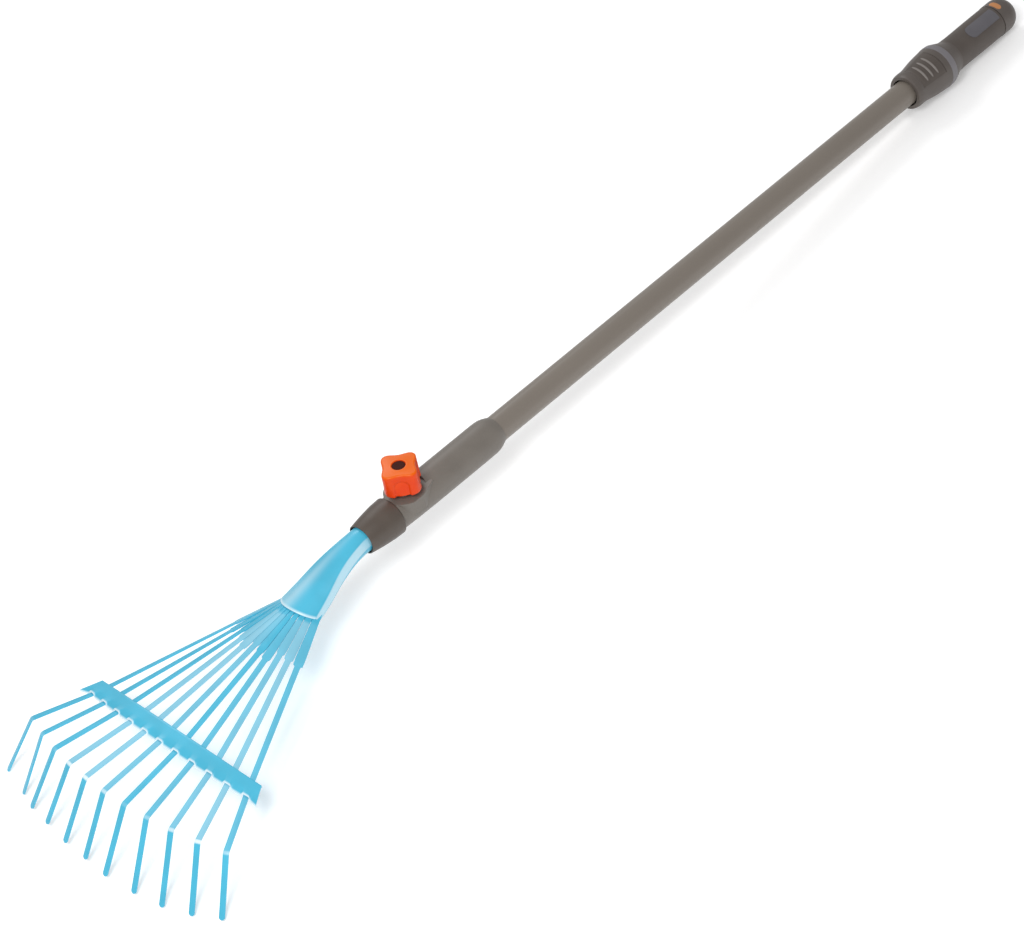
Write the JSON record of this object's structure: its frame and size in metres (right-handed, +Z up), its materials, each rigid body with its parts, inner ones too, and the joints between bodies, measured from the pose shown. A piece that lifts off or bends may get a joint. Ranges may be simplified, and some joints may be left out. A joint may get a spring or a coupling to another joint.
{
  "type": "leaf rake",
  "caption": "Fan-shaped spring-tine leaf rake head with a crossbar, plugged into a telescopic handle and held by a clamping knob.",
  "frame": {"origin": "centre of the footprint, on the ground that the rake lies on", "axes": "+Y from the head to the grip, +Z up with the clamping knob on top, +X to the right"},
  "size_m": [0.3042, 1.3998, 0.1266],
  "materials": {
    "blue_steel": "satin powder coat over spring steel",
    "dark_plastic": "fine moulded texture",
    "bright_steel": "zinc plated",
    "socket_plastic": "fine moulded texture",
    "brass": "turned",
    "coated_tube": "satin coating",
    "bush_plastic": "smooth acetal",
    "orange_plastic": "glossy moulded",
    "cap_plastic": "satin moulded",
    "inner_metal": "drawn tube",
    "grip_plastic": "fine moulded texture",
    "soft_rubber": "soft overmould",
    "inlay_plastic": "satin moulded"
  },
  "bodies": {
    "handle": {"adapter_socket": "socket_plastic", "thread_insert": "brass", "outer_tube": "coated_tube", "tube_end_bush": "bush_plastic"},
    "head": {"ferrule": "blue_steel", "crossbar": "blue_steel", "tool_collar": "dark_plastic", "tool_plug": "dark_plastic", "plug_pin": "bright_steel", "tine_01": "blue_steel", "tine_02": "blue_steel", "tine_03": "blue_steel", "tine_04": "blue_steel", "tine_05": "blue_steel", "tine_06": "blue_steel", "tine_07": "blue_steel", "tine_08": "blue_steel", "tine_09": "blue_steel", "tine_10": "blue_steel", "tine_11": "blue_steel"},
    "washer": {"knob_washer": "bright_steel"},
    "knob": {"star_knob": "orange_plastic", "clamp_stud": "bright_steel", "knob_cap": "cap_plastic"},
    "lock": {"lock_collet": "bush_plastic"},
    "pole": {"lock_cone": "bush_plastic", "lock_nut": "brass", "inner_tube": "inner_metal", "grip_pin": "bright_steel", "grip_body": "grip_plastic", "grip_band": "inlay_plastic", "thumb_pad": "soft_rubber", "soft_grip": "soft_rubber", "label_inlay": "inlay_plastic", "end_cap": "grip_plastic", "cap_badge": "orange_plastic"}
  },
  "joints": [
    {"name": "head_slide", "type": "slide", "parent": "handle", "child": "head", "axis": [0, -0.9981, 0.0616], "range_m": [0, 0.075]},
    {"name": "knob_lift", "type": "slide", "parent": "handle", "child": "washer", "axis": [0, 0.0616, 0.9981], "range_m": [0, 0.003]},
    {"name": "knob_turn", "type": "hinge", "parent": "washer", "child": "knob", "pos_m": [0, -0.25598, 0.1005], "axis": [0, 0.0616, 0.9981], "range_deg": [0, 1080]},
    {"name": "handle_extend", "type": "slide", "parent": "handle", "child": "lock", "axis": [0, 0.9981, -0.0616], "range_m": [0, 0.55]},
    {"name": "grip_twist", "type": "hinge", "parent": "lock", "child": "pole", "pos_m": [0, 0.51204, 0.02997], "axis": [0, 0.9981, -0.0616], "range_deg": [0, 90]}
  ],
  "couplings": [
    {"joint": "knob_turn", "follows": "knob_lift", "rad_per_m": 6283.2}
  ]
}
